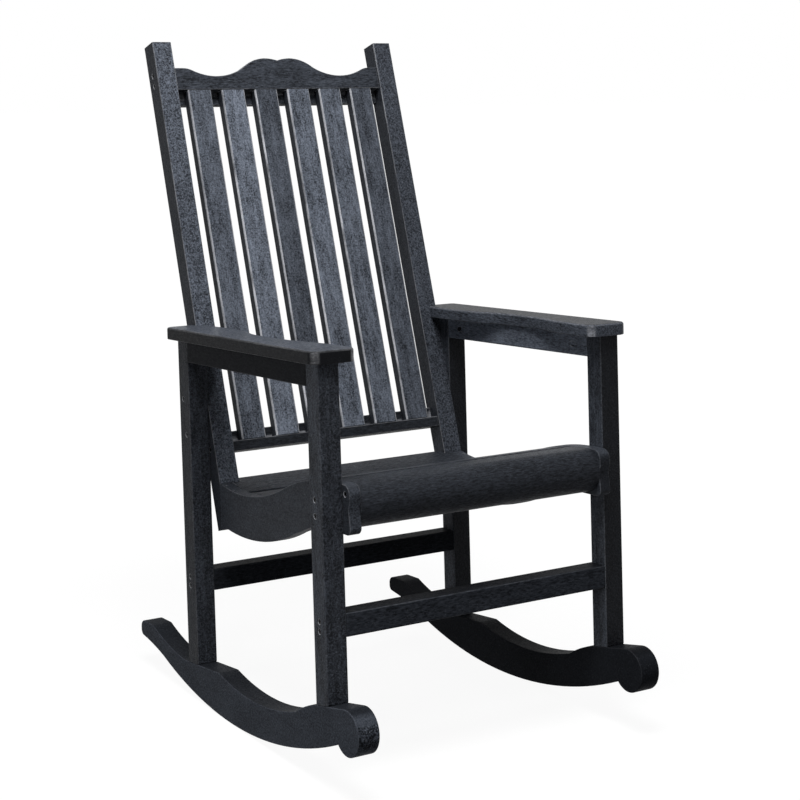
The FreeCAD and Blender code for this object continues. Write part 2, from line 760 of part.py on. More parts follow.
def back_slat_screws():
    """Two screws at each end of each slat, driven forwards through the rails' lips."""
    crest_row = dim("back_slat_top") - dim("crest_lip") / 2
    lower_row = dim("back_slat_bottom") + (dim("lumber") - dim("lower_rail_drop")) / 2
    half = dim("back_slat_screw_pitch") / 2
    places = []
    for number in range(1, BACK_SLATS + 1):
        for shift in (-half, half):
            for height in (crest_row, lower_row):
                point = Vector(size(slat_middle(number)) + shift, dim("lumber"), height)
                places.append(back_frame().multiply(aimed(point, Vector(0, -1, 0))))
    return places


def seat_slat_screws():
    """A slanted screw up into the rails from under each end of a slat, two in a wide slat."""
    front = dim("seat_slat_screw_front")
    pitch = dim("seat_slat_screw_pitch")
    places = []
    for start, end in seat_slat_lines():
        along = (end - start).normalize()
        up = Vector(0, -along.z, along.y)
        width = (end - start).Length
        for distance in [front, front + pitch] if width > 2 * front + pitch else [width / 2]:
            middle = start + (end - start) * (distance / width) - up * (dim("board") / 2)
            places += pocket_pair(middle, up, size(RAIL_INSIDE), dim("board") / 2)
    return places


def pocket_pair(middle, up, end, depth):
    """Slanted screws at both ends of a cross piece, from the face at a depth under its middle."""
    angle = math.radians(dim("pocket_angle"))
    direction = Vector(math.cos(angle), 0, 0) + up * math.sin(angle)
    crossing = Vector(end, middle.y, middle.z)
    length_to_face = depth / math.sin(angle)
    surface = crossing - direction * (length_to_face - pocket_sink())
    return mirrored_pair(surface, direction)


def pocket_sink():
    """How deep along its axis a slanted screw's counterbore starts, so the head is buried."""
    angle = math.radians(dim("pocket_angle"))
    return dim("screw_head") / 2 / math.tan(angle) + dim("screw_sink")


def arm_rail_screws():
    """Slanted screws in the arm rails' inner faces, into the legs at both ends."""
    angle = math.radians(dim("pocket_angle"))
    inner = size(LEG_INSIDE)
    depth = dim("lumber") / 2
    height = dim("leg_top") - depth
    places = []
    for end, outward in ((dim("lumber"), -1), (dim("leg_spacing"), 1)):
        direction = Vector(math.sin(angle), outward * math.cos(angle), 0)
        crossing = Vector(inner + depth, end, height)
        point = crossing - direction * (depth / math.sin(angle) - pocket_sink())
        places += mirrored_pair(point, direction)
    return places


def arm_screws():
    """Three screws a side, up through the arm rail into the arm."""
    places = []
    out = size(f"{HALF_WIDTH} - dim.lumber/2")
    first = dim("lumber") + dim("arm_screw_end")
    last = dim("leg_spacing") - dim("arm_screw_end")
    for back in (first, (first + last) / 2, last):
        point = Vector(out, back, dim("leg_top") - dim("lumber"))
        places += mirrored_pair(point, Vector(0, 0, 1))
    return places


def rocker_screws():
    """Two screws up through the rocker into each leg, from deep holes in its underside."""
    places = []
    out = size(f"{HALF_WIDTH} - dim.lumber/2")
    half = dim("rocker_screw_pitch") / 2
    for front in (0, dim("leg_spacing")):
        for back in (front + dim("lumber") / 2 - half, front + dim("lumber") / 2 + half):
            height = size(rocker_underside(back)) + dim("rocker_screw_depth")
            places += mirrored_pair(Vector(out, back, height), Vector(0, 0, 1))
    return places


# Each kind of screw: where it goes, its length, and the pieces that it holds together.
SCREWS = {
    "stretcher_screws": (stretcher_screws, "frame_screw", ("front_leg", "rear_leg", "stretcher")),
    "post_screws": (post_screws, "frame_screw", ("rear_leg", "back_post")),
    "crest_rail_screws": (crest_screws, "frame_screw", ("back_post", "crest_rail")),
    "lower_rail_screws": (lower_rail_screws, "frame_screw", ("back_post", "lower_back_rail")),
    "seat_rail_screws": (seat_rail_screws, "seat_rail_screw", ("front_leg", "seat_rail")),
    "seat_roll_screws": (roll_screws, "roll_screw", ("seat_rail", "seat_roll")),
    "back_slat_screws": (back_slat_screws, "slat_screw", ("crest_rail", "lower_back_rail", "back_slat")),
    "seat_slat_screws": (seat_slat_screws, "pocket_screw", ("seat_slat", "seat_rail")),
    "arm_screws": (arm_screws, "arm_screw", ("_arm",)),
    "arm_rail_screws": (arm_rail_screws, "apron_screw", ("arm_rail", "front_leg", "rear_leg")),
    "rocker_screws": (rocker_screws, "rocker_screw", ("rocker", "front_leg", "rear_leg")),
}


def screw_group(name, places, length):
    """All screws of one kind as one node of separate solids."""
    group = doc.addObject("Part::Feature", name)
    group.Label = name
    group.Shape = Part.makeCompound([placed(screw_shape(length), place) for place in places])
    return group


def placed(shape, place):
    copy = shape.copy()
    copy.Placement = place.multiply(copy.Placement)
    return copy


def drilled(body, holes):
    """The body with the screw holes that reach it cut out, under the body's own name."""
    reaching = []
    for hole, joined in holes:
        if any(word in body.Label for word in joined) and hole.BoundBox.intersect(body.Shape.BoundBox):
            reaching.append(hole)
    if not reaching:
        return body
    name = body.Label
    body.Label = name + "_blank"
    drill = doc.addObject("Part::Feature", name + "_holes")
    drill.Shape = Part.makeCompound(reaching)
    cut = doc.addObject("Part::Cut", name + "_drilled")
    cut.Label = name
    cut.Base = body
    cut.Tool = drill
    return cut


def build_pieces():
    pieces = []
    for side, hand in SIDES.items():
        pieces += [rocker(side, hand), leg(side, hand, "front"), leg(side, hand, "rear")]
        pieces += [arm_rail(side, hand), arm(side, hand), seat_rail(side, hand)]
        post = back_post(side, hand)
        post.Placement = back_frame()
        pieces.append(post)
    pieces.append(stretcher("front", "0", "dim.front_stretcher_height"))
    pieces.append(stretcher("rear", "dim.leg_spacing", "dim.rear_stretcher_height"))
    pieces.append(seat_roll())
    lines = seat_slat_lines()
    for number, (start, end) in enumerate(lines, start=1):
        pieces.append(seat_slat(number, start, end, number == len(lines)))
    leaning = [crest_rail(), lower_back_rail()]
    leaning += [back_slat(number) for number in range(1, BACK_SLATS + 1)]
    for body in leaning:
        body.Placement = back_frame()
    return pieces + leaning


def balance_tilt(plastic, steel):
    """Angle that the chair tips back so that its weight stands over where the rockers touch."""
    weight = 0
    moment = Vector(0, 0, 0)
    for pieces, density in ((plastic, PLASTIC_DENSITY), (steel, STEEL_DENSITY)):
        for piece in pieces:
            for solid in piece.Shape.Solids:
                weight += solid.Volume * density
                moment += solid.CenterOfMass * (solid.Volume * density)
    centre = moment * (1 / weight)
    behind = centre.y - dim("rocker_centre_back")
    below = dim("rocker_centre_height") - centre.z
    return math.degrees(math.atan2(behind, below))


def stand(pieces, tilt):
    """Tips the chair to its balance and moves its bottom centre to the origin."""
    tip = Placement(Vector(0, 0, 0), Rotation(Vector(1, 0, 0), -tilt))
    whole = Part.makeCompound([placed(piece.Shape, tip) for piece in pieces]).BoundBox
    move = Placement(Vector(0, -whole.Center.y, -whole.ZMin), Rotation()).multiply(tip)
    for piece in pieces:
        piece.Placement = move.multiply(piece.Placement)
    print(f"tips back {tilt:.3f} degrees, moved {-whole.Center.y:.3f} back and {-whole.ZMin:.3f} up")


def check(pieces):
    for item in doc.Objects:
        if "Invalid" in item.State or "Error" in item.State:
            raise RuntimeError(f"{item.Label} failed: {item.State}")
    for piece in pieces:
        if piece.Shape.isNull() or not piece.Shape.isValid():
            raise RuntimeError(f"{piece.Label} has no valid shape")


def main():
    bodies = build_pieces()
    groups = []
    holes = []
    for name, (places, length, joined) in SCREWS.items():
        spots = places()
        recess = dim("rocker_screw_depth") + dim("lumber") if name == "rocker_screws" else dim("board")
        groups.append(screw_group(name, spots, dim(length)))
        holes += [(placed(screw_hole(dim(length), recess), spot), joined) for spot in spots]
    plastic = [drilled(body, holes) for body in bodies]
    doc.recompute()
    pieces = plastic + groups
    stand(pieces, balance_tilt(plastic, groups))
    check(pieces)
    os.makedirs("parts", exist_ok=True)
    for piece in pieces:
        piece.Shape.exportStep(f"parts/{piece.Label}.step")


main()
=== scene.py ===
import math

import bmesh
import bpy
from mathutils import Matrix, Vector


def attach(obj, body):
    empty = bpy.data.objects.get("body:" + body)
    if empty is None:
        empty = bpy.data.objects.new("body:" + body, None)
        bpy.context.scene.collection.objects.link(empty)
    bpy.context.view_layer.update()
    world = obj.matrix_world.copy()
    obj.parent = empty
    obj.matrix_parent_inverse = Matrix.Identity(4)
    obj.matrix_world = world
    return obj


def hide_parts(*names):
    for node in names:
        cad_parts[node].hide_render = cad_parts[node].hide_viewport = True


bl_info = {
    "name": "Rocking chair",
    "version": (1, 0, 0),
    "blender": (4, 5, 0),
    "location": "View3D > Sidebar > Rocking chair",
    "description": "Dresses a moulded plastic rocking chair and sets it in a plain white studio",
    "category": "Object",
}

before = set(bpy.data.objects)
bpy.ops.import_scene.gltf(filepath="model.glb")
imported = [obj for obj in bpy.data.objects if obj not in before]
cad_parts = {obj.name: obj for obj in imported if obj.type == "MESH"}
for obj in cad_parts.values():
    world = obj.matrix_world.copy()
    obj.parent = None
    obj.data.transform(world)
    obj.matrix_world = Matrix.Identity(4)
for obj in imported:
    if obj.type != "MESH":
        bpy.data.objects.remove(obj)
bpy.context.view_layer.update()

# The chair stands tipped back a little on its rockers, and its back leans further.
TIP = math.radians(3.410)
LEAN = math.radians(15.7) + TIP
QUARTER_TURN = math.radians(90)

SIDES = ("left", "right")
LEGS = [f"{side}_{end}_leg" for side in SIDES for end in ("front", "rear")]
SEAT_SLATS = [f"seat_slat_{number}" for number in range(1, 6)]
BACK_SLATS = [f"back_slat_{number}" for number in range(1, 7)]
SCREWS = sorted(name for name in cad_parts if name.endswith("_screws"))

# The face attribute that marks the rims of the screw holes. A sharp edge or a chain of such edges
# that spans less than a rim's span belongs to a screw hole and not to the outline of a board.
RIM = "hole_rim"
RIM_SPAN = 0.03
SHARP_FROM = math.radians(50)

# Points nearer than this are one point, and triangles that meet at less than this are one face.
SAME_POINT = 0.00001
SAME_FACE = math.radians(0.2)

WHITE = (1, 1, 1, 1)

# The camera's place, the directions of its picture's right and up, and its lens.
CAMERA_PLACE = Vector((-1.71554, -2.81711, 1.19510))
CAMERA_RIGHT = Vector((0.850692, -0.525656, 0.002864))
CAMERA_UP = Vector((0.054996, 0.094417, 0.994013))
CAMERA_LENS = 81.97
CAMERA_SHIFT = (0.00936, -0.18558)


class ChairColours(bpy.types.PropertyGroup):
    """Colours of the plastic and of the screws, in linear values"""

    pale: bpy.props.FloatVectorProperty(
        name="Pale plastic", description="The palest patches of the moulded skin",
        default=(0.222, 0.252, 0.312), size=3, min=0, max=1, subtype="COLOR")
    dark: bpy.props.FloatVectorProperty(
        name="Dark plastic", description="The darkest patches of the moulded skin",
        default=(0.0060, 0.0065, 0.0080), size=3, min=0, max=1, subtype="COLOR")
    # The pale grains also stand for painted glints on the bumps of the plastic.
    speck_and_glint: bpy.props.FloatVectorProperty(
        name="Specks", description="The fine pale grains in the plastic",
        default=(0.30, 0.32, 0.36), size=3, min=0, max=1, subtype="COLOR")
    # The pale edge colour is partly scuffing and partly painted highlight along the rounded edges.
    worn_and_glint: bpy.props.FloatVectorProperty(
        name="Worn edges", description="The rubbed long edges of the boards",
        default=(0.55, 0.56, 0.60), size=3, min=0, max=1, subtype="COLOR")
    # The screw heads are nearly black: weathered steel, with the shade of their sunk holes painted
    # in.
    steel: bpy.props.FloatVectorProperty(
        name="Screw steel", description="The weathered steel of the screws",
        default=(0.005, 0.0055, 0.007), size=3, min=0, max=1, subtype="COLOR")


class ChairSizes(bpy.types.PropertyGroup):
    """Sizes of the worked edges"""

    sawn_edge: bpy.props.FloatProperty(
        name="Sawn edge", description="Rounding of the edges left by sawing a board to its outline",
        default=0.0016, min=0.0002, max=0.004, unit="LENGTH", precision=4)
    hole_rim: bpy.props.FloatProperty(
        name="Hole rim", description="Rounding round a screw hole",
        default=0.0009, min=0.0001, max=0.002, unit="LENGTH", precision=4)
    smooth_below: bpy.props.FloatProperty(
        name="Smooth below",
        description="Faces that meet at less than this angle are shaded as one",
        default=math.radians(40), min=0, max=math.pi, unit="ROTATION")


class StudioSettings(bpy.types.PropertyGroup):
    """Lamps and floor of the studio"""

    overhead: bpy.props.FloatProperty(
        name="Overhead lamp", description="Power of the wide lamp over the chair",
        default=105, min=0, unit="POWER")
    side: bpy.props.FloatProperty(
        name="Side lamp", description="Power of the lamp on the sitter's right",
        default=14, min=0, unit="POWER")
    front: bpy.props.FloatProperty(
        name="Front lamp", description="Power of the lamp high in front of the chair",
        default=10, min=0, unit="POWER")
    back: bpy.props.FloatProperty(
        name="Back lamp", description="Power of the lamp behind the chair", default=30, min=0,
        unit="POWER")
    sky: bpy.props.FloatProperty(
        name="Ambient light", description="Strength of the even light from all round",
        default=0.04, min=0, max=2)
    floor_size: bpy.props.FloatProperty(
        name="Floor size", description="Length of the square floor's sides",
        default=60, min=2, unit="LENGTH")
    floor_colour: bpy.props.FloatVectorProperty(
        name="Floor colour", description="Colour of the floor's paint",
        default=(0.12, 0.12, 0.12), size=3, min=0, max=1, subtype="COLOR")
    floor_shadow: bpy.props.FloatProperty(
        name="Floor shadow", description="Share of the floor's look that takes the chair's shadow",
        default=0.8, min=0, max=0.95, subtype="FACTOR")
    shadow_reach: bpy.props.FloatProperty(
        name="Shadow reach",
        description="Distance from the chair's middle at which the floor turns plain white",
        default=1.5, min=0.5, unit="LENGTH")


class Field:
    """A number that varies over a surface, on which sums can be written."""

    def __init__(self, recipe, socket):
        self.recipe = recipe
        self.socket = socket

    def maths(self, operation, *values):
        inputs = dict(enumerate(values))
        return self.recipe.field("ShaderNodeMath", {"operation": operation}, inputs)

    def __add__(self, other):
        return self.maths("ADD", self, other)

    __radd__ = __add__

    def __sub__(self, other):
        return self.maths("SUBTRACT", self, other)

    def __rsub__(self, other):
        return self.maths("SUBTRACT", other, self)

    def __mul__(self, other):
        return self.maths("MULTIPLY", self, other)

    __rmul__ = __mul__

    def __truediv__(self, other):
        return self.maths("DIVIDE", self, other)

    def __rtruediv__(self, other):
        return self.maths("DIVIDE", other, self)

    def __pow__(self, other):
        return self.maths("POWER", self, other)

    def __rpow__(self, other):
        return self.maths("POWER", other, self)

    def __abs__(self):
        return self.maths("ABSOLUTE", self)

    def larger(self, other):
        return self.maths("MAXIMUM", self, other)

    def step(self, low, high):
        """Rises smoothly from 0 to 1 as the value passes from low to high."""
        return self.recipe.field("ShaderNodeMapRange", {"interpolation_type": "SMOOTHSTEP"},
                                 {"Value": self, "From Min": low, "From Max": high})


class Recipe:
    """The nodes of one finish."""

    def __init__(self, owner):
        owner.use_nodes = True
        self.tree = owner.node_tree
        self.tree.nodes.clear()

    def node(self, kind, settings=None, inputs=None):
        """Adds a node with its settings, then a value or a link for each of the named sockets."""
        node = self.tree.nodes.new(kind)
        for name, value in (settings or {}).items():
            setattr(node, name, value)
        for name, value in (inputs or {}).items():
            if isinstance(value, Field):
                self.tree.links.new(value.socket, node.inputs[name])
            else:
                node.inputs[name].default_value = value
        return node

    def field(self, kind, settings=None, inputs=None, output=0):
        return Field(self, self.node(kind, settings, inputs).outputs[output])

    def mix(self, share, first, second):
        """A colour between two, by share."""
        inputs = {0: share, 6: first, 7: second}
        return self.field("ShaderNodeMix", {"data_type": "RGBA"}, inputs, 2)

    def along(self, vector, direction):
        """How far a vector points in a direction."""
        return self.field("ShaderNodeVectorMath", {"operation": "DOT_PRODUCT"},
                          {0: vector, 1: direction}, "Value")

    def noise(self, place, scale, detail, roughness=0.5):
        return self.field("ShaderNodeTexNoise", None, {
            "Vector": place, "Scale": scale, "Detail": detail, "Roughness": roughness})


def opaque(colour):
    return (*colour, 1)


def leaning(angle):
    """The direction of a post's front face, for a post that leans back by an angle."""
    return Vector((0, -math.cos(angle), math.sin(angle)))


def upright(angle):
    """The direction of the same post's length, and of the top of a board that is square to it."""
    return Vector((0, math.sin(angle), math.cos(angle)))


# How many there are to a metre of the clouds and spots in the plastic, the pebbles and fibres of
# its fine texture, its creases, its pale grains and painted glints, the breaks and fades in the
# scuffing and painted highlight of an edge, and the scratches and the patches of dull film on the
# steel.
CLOUDS = 9
SPOTS = 70
PEBBLES = 330
FIBRES = 420
CREASES = 140
SPECKS = 480
BREAKS = 60
FADES = 12
SCRATCHES = 1500
FILM = 300

# How many times as long as wide the spots and fibres are, how far apart in the pattern two boards
# are cut, and how pale the rims of the screw holes are painted, for scuffing and as a painted
# highlight.
GRAIN_STRETCH = 4
PATTERN_STEP = 3.7
RIM_WEAR_AND_GLINT = 0.42


def plastic_finish(**own):
    """A plastic finish. What isn't given is as on most boards.

    turn: turns the Z axis to the length of the board, along which its grain is stretched
    streak: how far the fine texture is fibres along the board and not pebbles
    face, skin, sawn: the way the moulded face looks, its paleness, and that of the sawn faces
    skin_mottle, sawn_mottle: how strong the fine texture and the spots are on them
    blotch, crease: how strong the spots are, and the creases of the moulded face
    relief: the depth of the texture in metres
    gloss, polish: the shine of the plastic, and of a polished layer on the moulded face
    edges, wear: the edges of the faces that look this way, or straight away from it, are painted
    pale by this much, for scuffing and as a painted highlight
    corners: how much the rounded bends between the front, the sides and the back are painted
    pale, mostly as a painted highlight and partly for scuffing
    grit: how gritty the ends that face the front are
    """
    common = {"blotch": 0.9, "crease": 0, "gloss": 0.05, "polish": 0, "edges": (1, 0, 0),
              "corners": 0, "grit": 0}
    return {**common, **own}


FINISHES = {
    "leg_plastic": plastic_finish(
        turn=(-TIP, 0, 0), streak=0.35, face=leaning(TIP), skin=0.12, sawn=0.15, skin_mottle=1.35,
        sawn_mottle=1.1, blotch=2.4, crease=0.8, relief=0.0026, polish=0.02, wear=0.09),
    # The rockers' tops are painted darker than their sides, as the shade under the arms and the
    # seat.
    "rocker_plastic": plastic_finish(
        turn=(QUARTER_TURN, 0, 0), streak=0.2, face=(0, 0, 1), skin=0.05, sawn=0.225,
        skin_mottle=0.6, sawn_mottle=0.6, relief=0.0010, gloss=0.01, wear=0.03, grit=1),
    "rail_plastic": plastic_finish(
        turn=(QUARTER_TURN, 0, 0), streak=0.3, face=leaning(TIP), skin=0.18, sawn=0.125,
        skin_mottle=1.1, sawn_mottle=0.75, blotch=1.2, relief=0.0010, wear=0.17),
    "arm_rail_plastic": plastic_finish(
        turn=(QUARTER_TURN, 0, 0), streak=0.7, face=upright(TIP), skin=0.12, sawn=0.13,
        skin_mottle=0.6, sawn_mottle=0.8, blotch=1.2, relief=0.0010, gloss=0.015, wear=0.08),
    # The arms' rounded front and back bends carry a painted highlight.
    "arm_plastic": plastic_finish(
        turn=(QUARTER_TURN, 0, 0), streak=1, face=upright(TIP), skin=0.15, sawn=0.075,
        skin_mottle=0.6, sawn_mottle=0.9, blotch=1.2, relief=0.0008, polish=0.07,
        edges=(0, 0, 1), wear=0.13, corners=0.45),
    # The stretchers' tops are painted far darker than their fronts, as the shade under the seat.
    "cross_plastic": plastic_finish(
        turn=(0, QUARTER_TURN, 0), streak=0.9, face=upright(TIP), skin=0.015, sawn=0.105,
        skin_mottle=0.8, sawn_mottle=1, relief=0.0012, gloss=0.01, edges=upright(TIP), wear=0.05),
    "seat_plastic": plastic_finish(
        turn=(0, QUARTER_TURN, 0), streak=0.9, face=(0, 0, 1), skin=0.082, sawn=0.082,
        skin_mottle=1.1, sawn_mottle=1.1, blotch=0.7, relief=0.0018, polish=0.02, wear=0.2),
    "post_plastic": plastic_finish(
        turn=(-LEAN, 0, 0), streak=0.2, face=leaning(LEAN), skin=0.29, sawn=0.11, skin_mottle=1.3,
        sawn_mottle=0.8, crease=0.9, relief=0.0014, polish=0.02, wear=0.3),
    # The slats' long edges are painted palest, mostly as a painted highlight.
    "slat_plastic": plastic_finish(
        turn=(-LEAN, 0, 0), streak=0.35, face=leaning(LEAN), skin=0.37, sawn=0.11,
        skin_mottle=1.15, sawn_mottle=0.7, blotch=2.2, relief=0.0010, polish=0.02, wear=1),
    "crest_plastic": plastic_finish(
        turn=(0, QUARTER_TURN, 0), streak=0.9, face=leaning(LEAN), skin=0.13, sawn=0.11,
        skin_mottle=1.05, sawn_mottle=0.7, blotch=2, crease=0.3, relief=0.0014, polish=0.02,
        edges=leaning(LEAN), wear=0.3),
}

# How much paler or darker than its fellows each board is painted, on its moulded face and on its
# sawn
# sides: partly its own colour, and partly painted light and shade, as on the far-side boards, the
# boards under the arms and the seat, and the arms. Its sawn sides that face the back or the
# sitter's left are as on its fellows.
BOARD_TONES_AND_PAINTED_LIGHT = {
    "back_slat_1": (0.95, 1), "back_slat_2": (1.41, 1), "back_slat_3": (0.70, 1),
    "back_slat_4": (1.2, 1), "back_slat_5": (1.05, 1), "back_slat_6": (0.71, 1),
    "lower_back_rail": (0.33, 0.5), "left_back_post": (0.62, 0.9), "right_back_post": (1.08, 0.7),
    "left_arm": (0.25, 3.3), "right_arm": (1.5, 0), "left_arm_rail": (1, 4.5),
    "right_arm_rail": (0.1, 0.1), "left_rocker": (0.1, 0.13), "rear_stretcher": (0.2, 0.5),
    "left_front_leg": (0.15, 1), "left_rear_leg": (0.15, 1), "right_rear_leg": (1, 0.35),
    "left_seat_rail": (0.3, 1), "seat_roll": (0.95, 0.85), "seat_slat_5": (0.85, 1),
}


def plastic(kind, node, settings):
    """Mottled charcoal plastic: an embossed moulded skin, smoother sawn sides, and scuffed edges
    with painted highlights.
    """
    colours = settings.chair_colours
    finish = FINISHES[kind]
    material = bpy.data.materials.new(f"{kind}_{node}")
    recipe = Recipe(material)
    coordinates = recipe.node("ShaderNodeTexCoord")
    place = Field(recipe, coordinates.outputs["Object"])
    normal = Field(recipe, coordinates.outputs["Normal"])
    # Each board is cut from its own place in the pattern.
    own = PATTERN_STEP * sorted(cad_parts).index(node)
    place = recipe.field("ShaderNodeMapping", None, {
        "Vector": place, "Location": (own, own * 0.7, 0)})
    grain = recipe.field("ShaderNodeMapping", {"vector_type": "TEXTURE"}, {
        "Vector": place, "Rotation": finish["turn"], "Scale": (1, 1, GRAIN_STRETCH)})

    # How pale the board is and how strong its texture, by the way each face looks.
    moulded = recipe.along(normal, finish["face"]).step(0.75, 0.97)
    # The board's painted light and shade act on its moulded face and on the sawn sides that don't
    # face the back or the sitter's left.
    skin_tone_and_painted_light, sawn_tone_and_painted_light = BOARD_TONES_AND_PAINTED_LIGHT.get(node, (1, 1))
    away = recipe.along(normal, (0.7, 0.7, 0)).step(0.3, 0.6)
    sawn_paleness_and_painted_light = (away * (1 - sawn_tone_and_painted_light) + sawn_tone_and_painted_light) * finish["sawn"]
    ends = recipe.along(normal, (0, -1, 0)).step(0.8, 0.97) * (finish["grit"] * skin_tone_and_painted_light)
    paleness_and_painted_light = (moulded * (finish["skin"] * skin_tone_and_painted_light - sawn_paleness_and_painted_light) + sawn_paleness_and_painted_light) * (1 - ends * 0.5)
    more = finish["skin_mottle"] - finish["sawn_mottle"]
    contrast = moulded * more + finish["sawn_mottle"] + ends * 3

    clouds = recipe.noise(place, CLOUDS, 2) - 0.5
    spots = recipe.noise(grain, SPOTS, 3, 0.6) - 0.5
    pebbles = recipe.noise(place, PEBBLES, 3, 0.6) - 0.5
    fibres = recipe.noise(grain, FIBRES, 3, 0.6) - 0.5
    fine = pebbles * (1 - finish["streak"]) + fibres * finish["streak"]
    # Creases run where their noise is near its middle. Their mean is taken off, so that the moulded
    # face is no paler for them.
    creases = (1 - abs(recipe.noise(place, CREASES, 2) - 0.5) * 12).larger(0)
    mean = 0.28
    creases = (creases - mean) * moulded * finish["crease"]
    mottle = (fine * 5 + spots * finish["blotch"]) * contrast + clouds * 0.8 + creases
    share = ((mottle + 1) * paleness_and_painted_light).larger(paleness_and_painted_light * 0.2)
    body = recipe.mix(share, opaque(colours.dark), opaque(colours.pale))
    # Pale grains, partly real and partly painted glints on the bumps.
    specks_and_glints = recipe.noise(place, SPECKS, 1).step(0.66, 0.76) * (paleness_and_painted_light * 0.9 + 0.05 + ends * 0.6)
    body = recipe.mix(specks_and_glints, body, opaque(colours.speck_and_glint))

    # On a rounded edge or corner the surface looks halfway between the directions of two faces.
    slope = abs(recipe.along(normal, finish["edges"]))
    edge = (slope * (1 - slope * slope) ** 0.5 * 2).step(0.2, 0.75)
    across = recipe.along(normal, (1, 0, 0)) * recipe.along(normal, (0, 1, 0))
    corner = abs(across * 2).step(0.5, 0.95)
    rim = recipe.field("ShaderNodeAttribute", {"attribute_name": RIM}, None, "Fac")
    # Edges, the rounded bends of the arms and the rims of the screw holes are painted pale and
    # given a coat: partly scuffing, partly painted highlight.
    rubbed_and_glinting = (edge * finish["wear"]).larger(corner * finish["corners"])
    breaks = recipe.noise(grain, BREAKS, 3, 0.6).step(0.25, 0.6) * 0.8 + 0.2
    rubbed_and_glinting = rubbed_and_glinting * breaks * (fine * 2 + 1)
    fades = recipe.noise(grain, FADES, 2).step(0.35, 0.65) * 0.6 + 0.4
    rubbed_and_glinting = (rubbed_and_glinting * fades).larger(rim * RIM_WEAR_AND_GLINT)
    body = recipe.mix(rubbed_and_glinting, body, opaque(colours.worn_and_glint))

    height = fine * 1.2 + spots * 0.5 + creases * 0.5
    bump = recipe.field("ShaderNodeBump", None, {
        "Strength": 0.7, "Distance": finish["relief"], "Height": height})
    surface = recipe.field("ShaderNodeBsdfPrincipled", None, {
        "Base Color": body, "Roughness": 0.5 - fine * 0.5, "Specular IOR Level": finish["gloss"],
        "Normal": bump, "Coat Weight": rubbed_and_glinting * 0.8 + moulded * finish["polish"],
        "Coat Roughness": 0.25})
    recipe.node("ShaderNodeOutputMaterial", None, {"Surface": surface})
    return material


def steel(name, settings):
    """Weathered steel with fine scratches and a dull film."""
    material = bpy.data.materials.new(name)
    recipe = Recipe(material)
    place = Field(recipe, recipe.node("ShaderNodeTexCoord").outputs["Object"])
    scratches = recipe.noise(place, SCRATCHES, 2, 0.6)
    film = recipe.noise(place, FILM, 2).step(0.35, 0.65)
    bright = opaque(settings.chair_colours.steel)
    dull = opaque([channel * 0.45 for channel in settings.chair_colours.steel])
    surface = recipe.field("ShaderNodeBsdfPrincipled", None, {
        "Base Color": recipe.mix(film, bright, dull), "Metallic": 1.0 - film * 0.3,
        "Roughness": 0.35 + scratches * 0.3,
        "Normal": recipe.field("ShaderNodeBump", None, {
            "Strength": 0.3, "Distance": 0.0001, "Height": scratches})})
    recipe.node("ShaderNodeOutputMaterial", None, {"Surface": surface})
    return material


def deselect():
    for thing in bpy.context.selected_objects:
        thing.select_set(False)


def work_on(piece):
    deselect()
    bpy.context.view_layer.objects.active = piece
    piece.select_set(True)


def sharp_edges(mesh, small):
    """Selects and counts the sharp outer edges, those of the screw holes or those of the board."""
    bpy.ops.mesh.select_mode(type="EDGE")
    bpy.ops.mesh.select_all(action="DESELECT")
    shape = bmesh.from_edit_mesh(mesh)
    sharp = [edge for edge in shape.edges
             if edge.is_manifold and edge.is_convex and edge.calc_face_angle() > SHARP_FROM]
    # Sharp edges that share points belong to one group, which is kept as the set of its points.
    group = {}
    for edge in sharp:
        first, second = (group.get(vert, {vert}) for vert in edge.verts)
        joined = first | second
        for vert in joined:
            group[vert] = joined
    chosen = 0
    for edge in sharp:
        places = [vert.co for vert in group[edge.verts[0]]]
        span = max(max(place[axis] for place in places) - min(place[axis] for place in places)
                   for axis in range(3))
        if (span < RIM_SPAN) == small:
            edge.select_set(True)
            chosen += 1
    bmesh.update_edit_mesh(mesh)
    return chosen


def mark_rims(mesh):
    """Marks the selected faces, so that the finish can paint the rims pale, for scuffing and as a
    painted highlight.
    """
    shape = bmesh.from_edit_mesh(mesh)
    layer = shape.faces.layers.float.new(RIM)
    for face in shape.faces:
        face[layer] = float(face.select)
    bmesh.update_edit_mesh(mesh)


def dress(node, finish, settings):
    """A finished copy of a board, with its edges rounded, takes the place of the plain one."""
    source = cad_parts[node]
    piece = bpy.data.objects.new(node + "_finished", source.data.copy())
    bpy.context.scene.collection.objects.link(piece)
    piece.data.materials.clear()
    work_on(piece)
    bpy.ops.object.mode_set(mode="EDIT")
    bpy.ops.mesh.select_all(action="SELECT")
    bpy.ops.mesh.remove_doubles(threshold=SAME_POINT)
    bpy.ops.mesh.dissolve_limited(angle_limit=SAME_FACE)
    sizes = settings.chair_sizes
    for small, rounding in ((True, sizes.hole_rim), (False, sizes.sawn_edge)):
        if sharp_edges(piece.data, small):
            # Blender's clamp would leave almost nothing of the rims.
            bpy.ops.mesh.bevel(offset=rounding, segments=3, profile=0.5, affect="EDGES",
                               clamp_overlap=not small)
            if small:
                mark_rims(piece.data)
    bpy.ops.object.mode_set(mode="OBJECT")
    bpy.ops.object.shade_smooth_by_angle(angle=sizes.smooth_below)
    even = piece.modifiers.new("Even shading", "WEIGHTED_NORMAL")
    even.keep_sharp = True
    bpy.ops.object.modifier_apply(modifier=even.name)
    piece.data.materials.append(finish)
    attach(piece, "root")
    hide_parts(node)


class DressingOperator:
    """What the operators that finish boards share."""

    bl_options = {"REGISTER", "UNDO"}
    boards = ()
    finish = ""

    def execute(self, context):
        scene = context.scene
        for node in self.boards:
            dress(node, plastic(self.finish, node, scene), scene)
        return {"FINISHED"}


